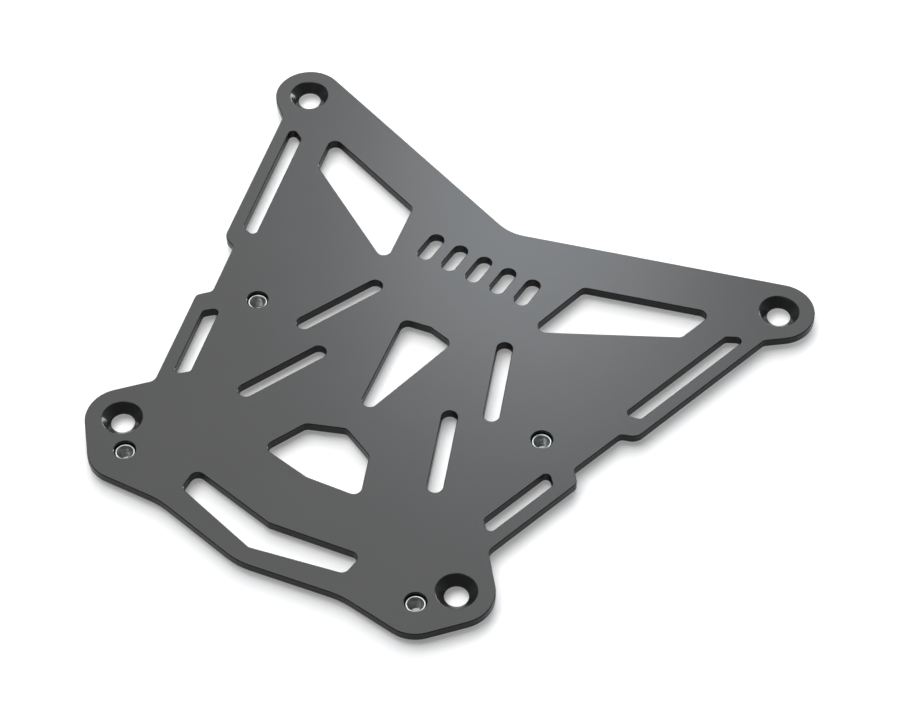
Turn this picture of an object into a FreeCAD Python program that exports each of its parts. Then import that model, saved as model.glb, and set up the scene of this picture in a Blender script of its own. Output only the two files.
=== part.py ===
import FreeCAD, Part
import math
import os

# A flat carrier plate for a motorbike top case, with four threaded nuts pressed in from below.
# X runs across the plate, +Y towards its wide rear end, +Z up. The nuts stand on z = 0.
# Plan positions are measured from the middle between the front and the rear row of fixing holes.

Vector = FreeCAD.Vector

# Plate
plate_thickness = 4.0
edge_break = 0.3

# Countersunk fixing holes, by which the plate is held to the luggage rack
row_distance = 190.2
rear_pitch = 236.5
front_pitch = 160.7
fixing_hole_diameter = 9.7
countersink_diameter = 17.0
countersink_angle = 90.0

# Outline, its corners measured from the rear or the front fixing hole on their side
rear_lug_radius = 14.8
front_lug_radius = 15.25
rear_dip = 22.2
rear_dip_fillet = 20.0
neck_offset = 2.35
neck_gap = 2.4
neck_fillet = 3.0
step_outer_from_rear = (-16.6, -88.5)
step_outer_fillet = 6.0
step_inner_from_rear = (-22.95, -90.65)
step_inner_fillet = 3.0
waist_from_front = (8.15, 74.5)
waist_fillet = 2.5
hip_from_front = (12.85, 69.3)
hip_fillet = 3.0
front_neck_offset = 0.35
front_neck_gap = 7.45
front_neck_fillet = 4.0
front_corner_inset = 10.4
front_corner_ahead = 12.9
front_corner_radius = 14.8
bend_x = 43.4
bend_rise = 2.05
bend_fillet = 35.0
front_point_drop = 7.95
front_point_fillet = 30.0

# Slots and windows, all cut with round corners of the same cutter
slot_width = 6.5
window_fillet = slot_width / 2
crease_fillet = 3.0

# Slots along the sides, for straps
long_rail_width = 5.7
short_rail_width = 5.9
side_slot_fillet = 2.0
long_slot_front_gap = 8.1
long_slot_rear_gap = 4.5
long_slot_front_angle = 15.0
long_slot_rear_angle = 28.5
short_slot_front_gap = 9.2
short_slot_rear_gap = 3.3
short_slot_end_angle = -45.0

# Slanting slots in the middle, two on each side
slant_slot_x = 39.0
slant_slot_y = 1.5
slant_slot_length = 35.0
slant_slot_angle = 23.2
slant_slot_pitch = 42.2

# Large windows in the wide rear end
rear_web = 22.3
side_web = 12.4
strut_drop = 84.6
strut_end_drop = 18.0
spine_x = 37.8
spine_drop = 54.2
spine_angle = 77.8

# Row of short slots between the rear windows
row_slot_count = 5
row_slot_pitch = 12.0
row_slot_length = 15.0
row_slot_drop = 46.7

# Kite window in the middle
kite_apex = 11.1
kite_shoulder = (12.1, 8.75)
kite_point = -50.7

# Window with five sides in front of it
shield_apex = -51.7
shield_shoulder = (15.4, -58.2)
shield_foot = (23.5, -77.15)
shield_base = -80.15

# Bent window along the front edge
front_web = 8.1
bow_depth = 13.7
bow_rear_corner = (39.9, 28.3)
bow_front_corner = (39.0, 17.6)

# Press nuts with a metric thread, pressed in from below
nut_inset = 10.65
nut_ahead = 12.7
nut_row_pitch = 93.25
nut_flange_diameter = 11.0
nut_flange_height = 4.0
nut_foot_chamfer = 0.6
nut_shank_diameter = 8.7
nut_shank_length = 2.5
nut_shank_chamfer = 0.45
nut_bore_diameter = 5.0
nut_mouth_diameter = 6.8
nut_mouth_depth = 0.9
nut_clearance = 0.1
nut_hole_chamfer = 0.3

# Levels and places that follow from the sizes above
underside = nut_flange_height
top_face = underside + plate_thickness
rear_row = row_distance / 2
front_row = -row_distance / 2
rear_hole = (rear_pitch / 2, rear_row)
front_hole = (front_pitch / 2, front_row)
front_nut = (front_hole[0] - nut_inset, front_row - nut_ahead)
rear_nut = (front_nut[0], front_nut[1] + nut_row_pitch)
rear_centre = (0, rear_row - rear_dip)
neck = (rear_hole[0] + neck_offset, rear_row - rear_lug_radius - neck_gap)
step_outer = (rear_hole[0] + step_outer_from_rear[0], rear_row + step_outer_from_rear[1])
step_inner = (rear_hole[0] + step_inner_from_rear[0], rear_row + step_inner_from_rear[1])
waist = (front_hole[0] + waist_from_front[0], front_row + waist_from_front[1])
hip = (front_hole[0] + hip_from_front[0], front_row + hip_from_front[1])
front_neck = (front_hole[0] + front_neck_offset, front_row + front_lug_radius + front_neck_gap)
front_corner = (front_hole[0] - front_corner_inset, front_row - front_corner_ahead)
front_bend = (bend_x, front_corner[1] - front_corner_radius + bend_rise)
front_point = (0, front_bend[1] - front_point_drop)


def corner(place, fillet):
    """A turn of an outline at a point, rounded by a fillet."""
    return place[0], place[1], 0, fillet


def lug(place, radius):
    """A turn of an outline round a lug, on an arc about the lug's own middle."""
    return place[0], place[1], radius, 0


def mirrored(half):
    """The half outline on the right, followed by its mirror image on the left."""
    left = [(-x, y, disc, fillet) for x, y, disc, fillet in reversed(half) if x]
    return half + left


def straight_between(a, b):
    """The straight run that leaves turn a and touches turn b, clockwise round the outline."""
    across = Vector(b[0] - a[0], b[1] - a[1], 0)
    span = across.Length
    lean = math.asin((a[2] - b[2]) / span)
    angle = math.atan2(across.y, across.x) - lean
    along = Vector(math.cos(angle), math.sin(angle), 0)
    outward = Vector(-along.y, along.x, 0)
    start = Vector(a[0], a[1], 0) + outward * a[2]
    end = Vector(b[0], b[1], 0) + outward * b[2]
    return start, end, along, outward


def turn_arc(turn, before, after):
    """First, middle and last point of the arc that joins two straight runs."""
    middle = Vector(turn[0], turn[1], 0)
    if turn[2]:
        return before[1], middle + (before[3] + after[3]).normalize() * turn[2], after[0]
    half_turn = before[2].getAngle(after[2]) / 2
    reach = turn[3] * math.tan(half_turn)
    inward = (after[2] - before[2]).normalize()
    sagitta = turn[3] / math.cos(half_turn) - turn[3]
    return middle - before[2] * reach, middle + inward * sagitta, middle + after[2] * reach


def outline_face(turns):
    """A flat face at z = 0 bounded by straight runs and the arcs that join them."""
    count = len(turns)
    runs = [straight_between(turns[i], turns[(i + 1) % count]) for i in range(count)]
    arcs = [turn_arc(turns[i], runs[i - 1], runs[i]) for i in range(count)]
    edges = []
    for i in range(count):
        edges.append(Part.Arc(*arcs[i]).toShape())
        edges.append(Part.LineSegment(arcs[i][2], arcs[(i + 1) % count][0]).toShape())
    return Part.Face(Part.Wire(edges))


def crossing(first, second):
    """The point where two lines cross, each given as a point and a direction in degrees."""
    (ax, ay), a_angle = first
    (bx, by), b_angle = second
    ux, uy = math.cos(math.radians(a_angle)), math.sin(math.radians(a_angle))
    vx, vy = math.cos(math.radians(b_angle)), math.sin(math.radians(b_angle))
    run = ((bx - ax) * vy - (by - ay) * vx) / (ux * vy - uy * vx)
    return ax + run * ux, ay + run * uy


def direction(a, b):
    """The direction from a to b in degrees."""
    return math.degrees(math.atan2(b[1] - a[1], b[0] - a[0]))


def inset_line(a, b, distance):
    """The line from a to b, moved to its right by a distance."""
    angle = direction(a, b)
    turned = math.radians(angle - 90)
    return (a[0] + distance * math.cos(turned), a[1] + distance * math.sin(turned)), angle


def closed_by(lines, fillet):
    """The window between lines, which cross each other in turn."""
    return [corner(crossing(lines[i - 1], line), fillet) for i, line in enumerate(lines)]


def plate_outline():
    return mirrored([
        corner(rear_centre, rear_dip_fillet),
        lug(rear_hole, rear_lug_radius),
        corner(neck, neck_fillet),
        corner(step_outer, step_outer_fillet),
        corner(step_inner, step_inner_fillet),
        corner(waist, waist_fillet),
        corner(hip, hip_fillet),
        corner(front_neck, front_neck_fillet),
        lug(front_hole, front_lug_radius),
        lug(front_corner, front_corner_radius),
        corner(front_bend, bend_fillet),
        corner(front_point, front_point_fillet),
    ])


def side_slot(edge, rail_width, front, rear, front_angle, rear_angle):
    """A slot beside the rail that it leaves along a side edge, between two slanting ends."""
    outer = inset_line(*edge, rail_width)
    inner = inset_line(*edge, rail_width + slot_width)
    middle = inset_line(*edge, rail_width + slot_width / 2)
    rear_end = crossing(middle, ((0, rear), 0)), rear_angle
    front_end = crossing(middle, ((0, front), 0)), front_angle
    return closed_by([rear_end, outer, front_end, inner], side_slot_fillet)


def long_slot():
    front = step_outer[1] + long_slot_front_gap
    rear = neck[1] - long_slot_rear_gap
    return side_slot((neck, step_outer), long_rail_width, front, rear,
                     long_slot_front_angle, long_slot_rear_angle)


def short_slot():
    front = front_neck[1] + short_slot_front_gap
    rear = hip[1] - short_slot_rear_gap
    return side_slot((hip, front_neck), short_rail_width, front, rear,
                     short_slot_end_angle, short_slot_end_angle)


def rear_window():
    """Bounded by the rear edge's web, the side slot's web, the slanting strut and the spine."""
    edge = straight_between(corner(rear_centre, 0), lug(rear_hole, rear_lug_radius))
    rear_edge = (edge[0].x, edge[0].y), (edge[1].x, edge[1].y)
    strut_start = (0, rear_row - strut_drop)
    strut_end = (rear_hole[0], rear_row - strut_end_drop)
    lines = [
        inset_line(*rear_edge, rear_web),
        inset_line(neck, step_outer, long_rail_width + slot_width + side_web),
        (strut_start, direction(strut_start, strut_end)),
        ((spine_x, rear_row - spine_drop), spine_angle),
    ]
    return closed_by(lines, window_fillet)


def kite_window():
    return mirrored([
        corner((0, kite_apex), crease_fillet),
        corner(kite_shoulder, window_fillet),
        corner((0, kite_point), window_fillet),
    ])


def shield_window():
    return mirrored([
        corner((0, shield_apex), crease_fillet),
        corner(shield_shoulder, window_fillet),
        corner(shield_foot, window_fillet),
        corner((0, shield_base), crease_fillet),
    ])


def bow_window():
    front = front_point[1] + front_web
    return mirrored([
        corner((0, front + bow_depth), crease_fillet),
        corner((bow_rear_corner[0], front_point[1] + bow_rear_corner[1]), window_fillet),
        corner((bow_front_corner[0], front_point[1] + bow_front_corner[1]), window_fillet),
        corner((0, front), crease_fillet),
    ])


def prism(face, height):
    return face.extrude(Vector(0, 0, height))


def round_slot(place, length, angle, height):
    """A slot with round ends, length between their centres, turned from the Y axis."""
    radius = slot_width / 2
    half = length / 2
    right_rear, right_front = Vector(radius, half, 0), Vector(radius, -half, 0)
    left_front, left_rear = Vector(-radius, -half, 0), Vector(-radius, half, 0)
    edges = [
        Part.LineSegment(right_rear, right_front).toShape(),
        Part.Arc(right_front, Vector(0, -half - radius, 0), left_front).toShape(),
        Part.LineSegment(left_front, left_rear).toShape(),
        Part.Arc(left_rear, Vector(0, half + radius, 0), right_rear).toShape(),
    ]
    slot = prism(Part.Face(Part.Wire(edges)), height)
    slot.rotate(Vector(), Vector(0, 0, 1), angle)
    slot.translate(Vector(place[0], place[1], 0))
    return slot


def both_sides(solid):
    return [solid, solid.mirror(Vector(), Vector(1, 0, 0))]


def cutouts(height):
    """Everything that is cut through the plate, apart from the fixing and nut holes."""
    tools = []
    for window in (long_slot(), short_slot(), rear_window()):
        tools += both_sides(prism(outline_face(window), height))
    for window in (kite_window(), shield_window(), bow_window()):
        tools.append(prism(outline_face(window), height))
    for row in range(2):
        place = (slant_slot_x, slant_slot_y - row * slant_slot_pitch)
        tools += both_sides(round_slot(place, slant_slot_length, slant_slot_angle, height))
    for i in range(row_slot_count):
        place = ((i - (row_slot_count - 1) / 2) * row_slot_pitch, rear_row - row_slot_drop)
        tools.append(round_slot(place, row_slot_length - slot_width, 0, height))
    return tools


def hole_tool(place, radius, mouth_radius, mouth_depth):
    """A straight hole with a conical mouth at the top face."""
    through = Part.makeCylinder(radius, plate_thickness, Vector(place[0], place[1], underside))
    mouth_level = Vector(place[0], place[1], top_face - mouth_depth)
    return through.fuse(Part.makeCone(radius, mouth_radius, mouth_depth, mouth_level))


def countersunk_hole(place):
    rim = countersink_diameter / 2
    radius = fixing_hole_diameter / 2
    depth = (rim - radius) / math.tan(math.radians(countersink_angle / 2))
    if depth > plate_thickness:
        radius = rim - plate_thickness * math.tan(math.radians(countersink_angle / 2))
        depth = plate_thickness
    return hole_tool(place, radius, rim, depth)


def nut_hole(place):
    radius = nut_shank_diameter / 2 + nut_clearance / 2
    return hole_tool(place, radius, radius + nut_hole_chamfer, nut_hole_chamfer)


def with_edges_broken(sheet, level):
    """The sheet with a small chamfer along every edge that lies at a level."""
    rims = [edge for edge in sheet.Edges
            if edge.BoundBox.ZLength < edge_break and abs(edge.CenterOfMass.z - level) < edge_break]
    return sheet.makeChamfer(edge_break, rims)


def carrier_plate():
    """The windows are milled from above, so only the outline is broken along the underside too."""
    blank = prism(outline_face(plate_outline()), plate_thickness)
    sheet = with_edges_broken(blank, 0).cut(cutouts(plate_thickness))
    sheet = with_edges_broken(sheet, plate_thickness)
    sheet.translate(Vector(0, 0, underside))
    holes = []
    for place, tool in ((rear_hole, countersunk_hole), (front_hole, countersunk_hole),
                        (rear_nut, nut_hole), (front_nut, nut_hole)):
        holes += both_sides(tool(place))
    return sheet.cut(holes)


def press_nut():
    """A round flange and a shank, turned about a bore with a wide conical mouth in the shank."""
    bore = nut_bore_diameter / 2
    flange = nut_flange_diameter / 2
    shank = nut_shank_diameter / 2
    mouth = nut_mouth_diameter / 2
    height = nut_flange_height + nut_shank_length
    profile = [
        (bore, 0), (flange - nut_foot_chamfer, 0), (flange, nut_foot_chamfer),
        (flange, nut_flange_height), (shank, nut_flange_height),
        (shank, height - nut_shank_chamfer), (shank - nut_shank_chamfer, height),
        (mouth, height), (bore, height - nut_mouth_depth),
    ]
    points = [Vector(radius, 0, z) for radius, z in profile]
    section = Part.Face(Part.makePolygon(points + points[:1]))
    return section.revolve(Vector(), Vector(0, 0, 1), 360)


def parts():
    nodes = {"carrier_plate": carrier_plate()}
    for row, place in (("rear", rear_nut), ("front", front_nut)):
        for side, sign in (("left", -1), ("right", 1)):
            nut = press_nut()
            nut.translate(Vector(sign * place[0], place[1], 0))
            nodes[f"press_nut_{row}_{side}"] = nut
    middle = nodes["carrier_plate"].BoundBox.Center.y
    for solid in nodes.values():
        solid.translate(Vector(0, -middle, 0))
    return nodes


os.makedirs("parts", exist_ok=True)
for name, solid in parts().items():
    solid.exportStep(f"parts/{name}.step")
    print(name, solid.isValid(), len(solid.Solids), round(solid.Volume, 1))
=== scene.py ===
import bpy
import math
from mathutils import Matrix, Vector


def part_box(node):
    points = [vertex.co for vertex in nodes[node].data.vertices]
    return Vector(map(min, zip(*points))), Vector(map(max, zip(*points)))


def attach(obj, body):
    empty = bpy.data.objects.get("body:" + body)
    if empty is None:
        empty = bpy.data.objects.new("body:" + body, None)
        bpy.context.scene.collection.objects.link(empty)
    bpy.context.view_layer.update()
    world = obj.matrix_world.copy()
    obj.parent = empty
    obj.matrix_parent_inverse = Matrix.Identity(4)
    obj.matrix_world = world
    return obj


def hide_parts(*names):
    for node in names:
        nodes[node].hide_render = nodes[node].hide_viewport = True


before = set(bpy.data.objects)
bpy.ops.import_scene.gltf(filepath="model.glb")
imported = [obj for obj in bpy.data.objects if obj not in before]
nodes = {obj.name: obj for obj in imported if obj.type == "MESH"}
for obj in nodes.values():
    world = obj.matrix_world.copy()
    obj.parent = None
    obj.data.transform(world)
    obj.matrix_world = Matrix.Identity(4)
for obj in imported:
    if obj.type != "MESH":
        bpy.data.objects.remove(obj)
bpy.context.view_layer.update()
mm = 0.001
levelNormal = 0.9    # beyond this, a normal's z is that of a level face
wallNormal = 0.1     # and within this, that of an upright wall
print("frame loaded:", len(nodes), "nodes")


# working on one piece at a time

def pick(piece):
    bpy.ops.object.select_all(action="DESELECT")
    piece.select_set(True)
    bpy.context.view_layer.objects.active = piece


def settle(piece):
    # the place goes into the mesh, so that patterns on Object coordinates stay put
    pick(piece)
    bpy.ops.object.transform_apply(location=True, rotation=True, scale=True)


def copyOf(piece, name):
    copy = piece.copy()
    copy.data = piece.data.copy()
    copy.name = name
    copy.parent = None
    bpy.context.scene.collection.objects.link(copy)
    return copy


def selectFaces(piece, wanted):
    # goes into edit mode with only the wanted faces selected
    pick(piece)
    bpy.ops.object.mode_set(mode="EDIT")
    bpy.ops.mesh.select_mode(type="FACE")
    bpy.ops.mesh.select_all(action="DESELECT")
    bpy.ops.object.mode_set(mode="OBJECT")
    for face in piece.data.polygons:
        face.select = wanted(face)
    bpy.ops.object.mode_set(mode="EDIT")


def selectEdges(piece, wanted):
    # the same for edges, which are judged by their two end points
    pick(piece)
    bpy.ops.object.mode_set(mode="EDIT")
    bpy.ops.mesh.select_mode(type="EDGE")
    bpy.ops.mesh.select_all(action="DESELECT")
    bpy.ops.object.mode_set(mode="OBJECT")
    corners = piece.data.vertices
    for edge in piece.data.edges:
        edge.select = wanted(*(corners[index].co for index in edge.vertices))
    bpy.ops.object.mode_set(mode="EDIT")


def modify(piece, kind, **settings):
    pick(piece)
    modifier = piece.modifiers.new(kind.title(), kind)
    for name, value in settings.items():
        setattr(modifier, name, value)
    bpy.ops.object.modifier_apply(modifier=modifier.name)


# working on node trees

noiseReach = (0.3, 0.7)    # the part of its range that a noise mostly fills
cloudDetail = 3.0
grainDetail = 2.0


def newFinish(name):
    finish = bpy.data.materials.new(name)
    finish.use_nodes = True
    tree = finish.node_tree
    return finish, tree, tree.nodes["Principled BSDF"]


def addNode(tree, kind, **settings):
    node = tree.nodes.new("ShaderNode" + kind)
    for name, value in settings.items():
        if hasattr(node, name):
            setattr(node, name, value)
        else:
            node.inputs[name].default_value = value
    return node


def noiseOn(tree, coordinates, scale, detail):
    noise = addNode(tree, "TexNoise", Scale=scale, Detail=detail)
    tree.links.new(coordinates.outputs["Object"], noise.inputs["Vector"])
    return noise.outputs["Fac"]


def mapTo(tree, source, low, high, reach=noiseReach):
    spread = addNode(tree, "MapRange")
    spread.inputs["From Min"].default_value = reach[0]
    spread.inputs["From Max"].default_value = reach[1]
    spread.inputs["To Min"].default_value = low
    spread.inputs["To Max"].default_value = high
    tree.links.new(source, spread.inputs["Value"])
    return spread.outputs["Result"]


def mottle(tree, shader, cloud, oneColour, otherColour):
    colours = addNode(tree, "MixRGB")
    colours.inputs["Color1"].default_value = oneColour
    colours.inputs["Color2"].default_value = otherColour
    tree.links.new(mapTo(tree, cloud, 0, 1), colours.inputs["Fac"])
    tree.links.new(colours.outputs["Color"], shader.inputs["Base Color"])


def grainInto(tree, shader, grain, rough, depth):
    # the same grain in the roughness and in the bump, depth in mm
    tree.links.new(mapTo(tree, grain, *rough), shader.inputs["Roughness"])
    bump = addNode(tree, "Bump", Strength=1.0, Distance=depth * mm)
    tree.links.new(grain, bump.inputs["Height"])
    tree.links.new(bump.outputs["Normal"], shader.inputs["Normal"])
    return bump


# camera, set to the view of the photograph

camera = {
    "lens": 119.145,                         # mm
    "sensor": 36,                            # mm
    "place": (443.042, -634.746, 957.154),   # mm
    "turn": (39.1622, 0.7568, 32.5853),      # degrees
    "clip": (0.01, 20),                      # m
}

bpy.ops.object.camera_add()
eye = bpy.context.object
eye.data.lens = camera["lens"]
eye.data.sensor_width = camera["sensor"]
eye.location = [value * mm for value in camera["place"]]
eye.rotation_euler = [math.radians(angle) for angle in camera["turn"]]
eye.data.clip_start, eye.data.clip_end = camera["clip"]
bpy.context.scene.camera = eye
print("camera set")


# the plate: black coat with a very fine grain, duller on the cut walls and darker there as
# painted shade, smoother in the countersunk holes, whose rim is softened in the shading alone

coat = {
    "cloudScale": 22,       # per metre, as the grain's
    "grainScale": 3200,
    "grainDepth": 0.001,    # mm
    "rimSamples": 8,
    "holePlaces": ((118.25, 104.25), (80.35, -85.95)),   # mm, those on the right
    "holeReach": 8.7,       # mm
    "mergeWithin": 0.001,   # mm
    "smoothAngle": 25,      # degrees
    "zones": {              # rimRound in mm
        "blackCoat": {
            "levels": (0.012, 0.015), "shine": 0.35, "rough": (0.20, 0.23), "rimRound": 0,
        },
        # the walls' darker levels are painted shade; the lower shine makes them duller
        "wallCoatPaintedShade": {
            "levels": (0.005, 0.007), "shine": 0.20, "rough": (0.22, 0.26), "rimRound": 0,
        },
        "holeCoat": {
            "levels": (0.012, 0.015), "shine": 0.35, "rough": (0.17, 0.21), "rimRound": 1.1,
        },
    },
}


def grey(level):
    return level, level, level, 1


def coatFinish(name, levels, shine, rough, rimRound):
    finish, tree, shader = newFinish(name)
    shader.inputs["Specular IOR Level"].default_value = shine
    place = addNode(tree, "TexCoord")
    cloud = noiseOn(tree, place, coat["cloudScale"], cloudDetail)
    grain = noiseOn(tree, place, coat["grainScale"], grainDetail)
    mottle(tree, shader, cloud, grey(levels[0]), grey(levels[1]))
    bump = grainInto(tree, shader, grain, rough, coat["grainDepth"])
    if rimRound:
        rounded = addNode(tree, "Bevel", samples=coat["rimSamples"], Radius=rimRound * mm)
        tree.links.new(rounded.outputs["Normal"], bump.inputs["Normal"])
    return finish


def onWall(face):
    return abs(face.normal.z) < wallNormal


def inCountersink(face):
    here = abs(face.center.x) / mm, face.center.y / mm
    near = min(math.dist(here, place) for place in coat["holePlaces"]) < coat["holeReach"]
    return near and abs(face.normal.z) < levelNormal


plate = copyOf(nodes["carrier_plate"], "plateDressed")
pick(plate)
bpy.ops.mesh.customdata_custom_splitnormals_clear()
bpy.ops.object.mode_set(mode="EDIT")
bpy.ops.mesh.select_all(action="SELECT")
bpy.ops.mesh.remove_doubles(threshold=coat["mergeWithin"] * mm)
bpy.ops.object.mode_set(mode="OBJECT")
bpy.ops.object.shade_smooth_by_angle(angle=math.radians(coat["smoothAngle"]))
plate.data.materials.clear()
for name, look in coat["zones"].items():
    plate.data.materials.append(coatFinish(name, **look))
# the holes come last, because their throats are walls too
# the cut walls take the darker copy of the coat, painted shade
for name, zone in (("wallCoatPaintedShade", onWall), ("holeCoat", inCountersink)):
    selectFaces(plate, zone)
    plate.active_material_index = plate.data.materials.find(name)
    bpy.ops.object.material_slot_assign()
    bpy.ops.object.mode_set(mode="OBJECT")
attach(plate, "root")
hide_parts("carrier_plate")
print("plate dressed")


# press nuts with a cut thread

zinc = {
    "colours": ((0.37, 0.39, 0.38, 1), (0.31, 0.33, 0.32, 1)),
    "rough": (0.28, 0.38),
    "patchScale": 420,      # per metre, as the grain's
    "grainScale": 6000,
    "grainDepth": 0.002,    # mm
}


def zincFinish():
    finish, tree, shader = newFinish("zincPlating")
    shader.inputs["Metallic"].default_value = 1.0
    place = addNode(tree, "TexCoord")
    patches = noiseOn(tree, place, zinc["patchScale"], cloudDetail)
    grain = noiseOn(tree, place, zinc["grainScale"], grainDetail)
    mottle(tree, shader, patches, *zinc["colours"])
    grainInto(tree, shader, grain, zinc["rough"], zinc["grainDepth"])
    return finish


nut = {                     # lengths in mm
    "steps": 96,
    "flangeRadius": 5.5,
    "flangeHeight": 4.0,
    "footChamfer": 0.6,
    "shankRadius": 4.35,
    "shankLength": 2.5,
    "shankChamfer": 0.45,
    "mouthRadius": 3.4,
    "mouthDepth": 0.9,
    "coreRadius": 2.5,
    "threadRadius": 3.0,
    "pitch": 1.0,
    "grooveWidth": 0.86,
    "threadStart": -1.05,   # below the foot; most other starts leave an edge in four faces
    "cutterSteps": 48,      # in a turn
    "spareTurns": 2,        # past the two ends of the bore
    "cutterOverlap": 0.1,   # into the bore
    "rimRound": 0.14,
    "rimSteps": 3,
    "levelWithin": 0.01,    # heights and radii closer than this are the same
    "mergeWithin": 0.0005,
    "smoothAngle": 30,      # degrees
}


def insetTo(radius, newRadius):
    bpy.ops.mesh.inset(thickness=(radius - newRadius) * mm)


def growBy(height, scale=1.0):
    # one more ring of the turned shape, raised and drawn in
    bpy.ops.mesh.extrude_region_move(TRANSFORM_OT_translate={"value": (0, 0, height * mm)})
    bpy.ops.transform.resize(value=(scale, scale, 1))


def turnedNut():
    flange, shank = nut["flangeRadius"], nut["shankRadius"]
    height, foot = nut["flangeHeight"], nut["footChamfer"]
    top = height + nut["shankLength"]
    bpy.ops.object.select_all(action="DESELECT")
    bpy.ops.mesh.primitive_cylinder_add(vertices=nut["steps"], radius=flange * mm,
                                        depth=(height - foot) * mm, end_fill_type="NGON",
                                        location=(0, 0, (height + foot) / 2 * mm))
    piece = bpy.context.object
    settle(piece)
    # foot: a chamfer, then the lower end of the bore
    selectFaces(piece, lambda face: face.normal.z < -levelNormal)
    growBy(-foot, 1 - foot / flange)
    insetTo(flange - foot, nut["coreRadius"])
    bpy.ops.object.mode_set(mode="OBJECT")
    # shank: up from the flange, a chamfer, the wide mouth and the upper end of the bore
    selectFaces(piece, lambda face: face.normal.z > levelNormal)
    insetTo(flange, shank)
    growBy(nut["shankLength"] - nut["shankChamfer"])
    growBy(nut["shankChamfer"], 1 - nut["shankChamfer"] / shank)
    insetTo(shank - nut["shankChamfer"], nut["mouthRadius"])
    growBy(-nut["mouthDepth"], nut["coreRadius"] / nut["mouthRadius"])
    bpy.ops.object.mode_set(mode="OBJECT")
    # bore: the round faces at its two ends are joined
    boreEnds = (0, top - nut["mouthDepth"])
    selectFaces(piece, lambda face: len(face.vertices) == nut["steps"]
                and min(abs(face.center.z / mm - end) for end in boreEnds) < nut["levelWithin"])
    bpy.ops.mesh.bridge_edge_loops()
    bpy.ops.object.mode_set(mode="OBJECT")

    # the two edges of the upper rim are rounded
    def onRim(start, end):
        atTop = all(abs(point.z / mm - top) < nut["levelWithin"] for point in (start, end))
        return atTop and abs(start.xy.length - end.xy.length) / mm < nut["levelWithin"]

    selectEdges(piece, onRim)
    bpy.ops.mesh.bevel(offset=nut["rimRound"] * mm, segments=nut["rimSteps"], affect="EDGES")
    bpy.ops.object.mode_set(mode="OBJECT")
    return piece


def threadCutter():
    # a three-sided bar wound up the bore; its outer corner is the root of the thread
    length = nut["flangeHeight"] + nut["shankLength"]
    turns = math.ceil(length / nut["pitch"]) + nut["spareTurns"]
    inner, groove = nut["coreRadius"] - nut["cutterOverlap"], nut["grooveWidth"]
    corners = ((inner, -groove / 2), (nut["threadRadius"], 0), (inner, groove / 2))
    bpy.ops.object.select_all(action="DESELECT")
    bpy.ops.mesh.primitive_circle_add(vertices=len(corners), fill_type="NOTHING")
    cutter = bpy.context.object
    for corner, (radius, height) in zip(cutter.data.vertices, corners):
        corner.co = (radius * mm, 0, (nut["threadStart"] + height) * mm)
    modify(cutter, "SCREW", angle=math.tau, screw_offset=nut["pitch"] * mm, iterations=turns,
           steps=nut["cutterSteps"], render_steps=nut["cutterSteps"], use_merge_vertices=False)
    bpy.ops.object.mode_set(mode="EDIT")
    bpy.ops.mesh.select_all(action="SELECT")
    bpy.ops.mesh.fill_holes(sides=len(corners))
    bpy.ops.mesh.select_all(action="SELECT")
    bpy.ops.mesh.normals_make_consistent(inside=False)
    bpy.ops.object.mode_set(mode="OBJECT")
    return cutter


def threadedNut():
    piece = turnedNut()
    cutter = threadCutter()
    modify(piece, "BOOLEAN", operation="DIFFERENCE", solver="EXACT", object=cutter)
    bpy.data.objects.remove(cutter)
    pick(piece)
    bpy.ops.object.mode_set(mode="EDIT")
    bpy.ops.mesh.select_all(action="SELECT")
    bpy.ops.mesh.remove_doubles(threshold=nut["mergeWithin"] * mm)
    bpy.ops.mesh.normals_make_consistent(inside=False)
    bpy.ops.object.mode_set(mode="OBJECT")
    bpy.ops.object.shade_smooth_by_angle(angle=math.radians(nut["smoothAngle"]))
    piece.data.materials.append(zincFinish())
    return piece


firstNut = threadedNut()
for nodeName in sorted(name for name in nodes if name.startswith("press_nut")):
    low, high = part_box(nodeName)
    dressed = copyOf(firstNut, nodeName.replace("press_nut", "threadedNut"))
    dressed.location = ((low.x + high.x) / 2, (low.y + high.y) / 2, low.z)
    settle(dressed)
    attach(dressed, "root")
    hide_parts(nodeName)
bpy.data.objects.remove(firstNut)
print("nuts made")


# floor and light

floorLook = {
    "size": 8.0,             # m
    "colour": (0.80, 0.80, 0.80, 1),
    "seenGlow": 0.25,        # added for the camera only
}


def floorFinish():
    finish, tree, shader = newFinish("floorPaper")
    shader.inputs["Base Color"].default_value = floorLook["colour"]
    shader.inputs["Roughness"].default_value = 1.0
    shader.inputs["Specular IOR Level"].default_value = 0.0
    ray = addNode(tree, "LightPath")
    glow = addNode(tree, "Math", operation="MULTIPLY")
    glow.inputs[1].default_value = floorLook["seenGlow"]
    tree.links.new(ray.outputs["Is Camera Ray"], glow.inputs[0])
    shader.inputs["Emission Color"].default_value = (1, 1, 1, 1)
    tree.links.new(glow.outputs["Value"], shader.inputs["Emission Strength"])
    return finish


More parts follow.
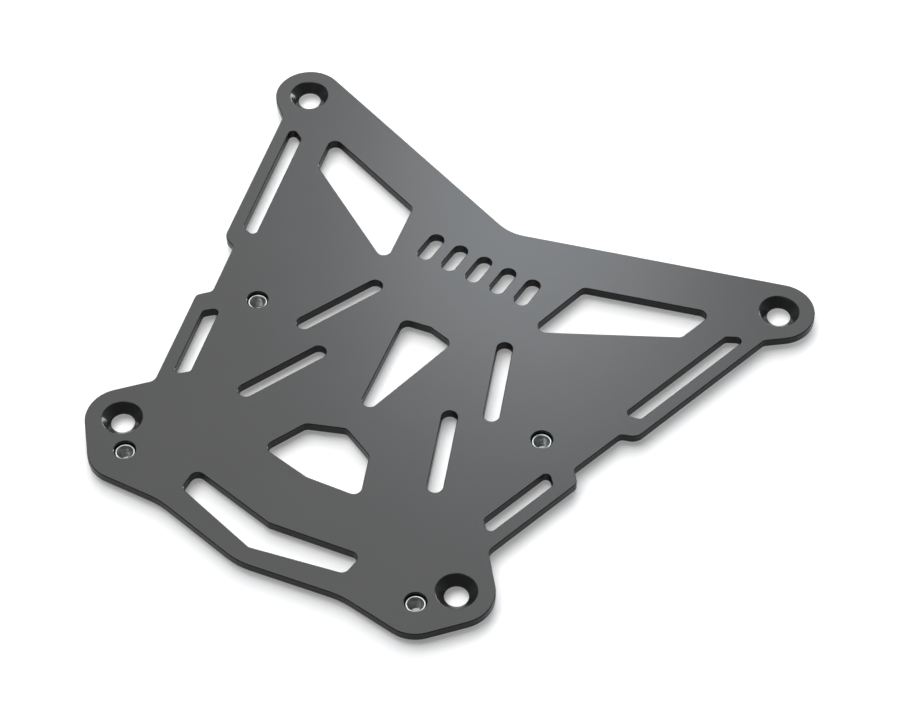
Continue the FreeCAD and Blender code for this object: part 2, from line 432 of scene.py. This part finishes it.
bpy.ops.object.select_all(action="DESELECT")
bpy.ops.mesh.primitive_plane_add(size=floorLook["size"])
floor = bpy.context.object
floor.name = "floor"
floor.data.materials.append(floorFinish())

# a room that is dim in front of the plate and bright behind it, and four soft boxes aimed at
# its middle: the key light above it, the panel that its top mirrors, a small bright patch
# before that panel and a low strip behind the plate
lights = {
    "rearward": (-0.3, 0.95, 0.1),
    "blend": (-0.3, 0.7),    # from the front's level to the rear's, along rearward
    "frontLevel": 0.09,
    "rearLevel": 0.5,
    "tint": (0.90, 0.95, 1, 1),
    "boxes": {               # places and sizes in m
        "keyLight": {
            "place": (-0.26, -0.22, 1.4), "size": (1.2, 1.2),
            "watts": 16.5, "colour": (1, 1, 1),
        },
        "mirroredPanel": {
            "place": (-0.607, 0.957, 1.40), "size": (1.45, 1.30),
            "watts": 14.9, "colour": (1, 1, 1),
        },
        "brightPatch": {
            "place": (-0.554, 1.014, 1.226), "size": (0.27, 0.32),
            "watts": 1.58, "colour": (0.86, 0.93, 1),
        },
        "lowStrip": {
            "place": (-0.05, 1.75, 0.24), "size": (1.5, 0.44),
            "watts": 24, "colour": (1, 1, 1),
        },
    },
}

world = bpy.data.worlds.new("studio")
bpy.context.scene.world = world
world.use_nodes = True
sky = world.node_tree
around = addNode(sky, "TexCoord")
lean = addNode(sky, "VectorMath", operation="DOT_PRODUCT")
lean.inputs[1].default_value = lights["rearward"]
sky.links.new(around.outputs["Generated"], lean.inputs[0])
level = mapTo(sky, lean.outputs["Value"], lights["frontLevel"], lights["rearLevel"],
              lights["blend"])
sky.nodes["Background"].inputs["Color"].default_value = lights["tint"]
sky.links.new(level, sky.nodes["Background"].inputs["Strength"])

for name, box in lights["boxes"].items():
    bpy.ops.object.light_add(type="AREA", location=box["place"])
    softBox = bpy.context.object
    softBox.name = name
    softBox.data.shape = "RECTANGLE"
    softBox.data.size, softBox.data.size_y = box["size"]
    softBox.data.energy = box["watts"]
    softBox.data.color = box["colour"]
    softBox.rotation_mode = "QUATERNION"
    softBox.rotation_quaternion = softBox.location.to_track_quat("Z", "Y")
bpy.context.scene.view_settings.view_transform = "Standard"
print("floor and light set")
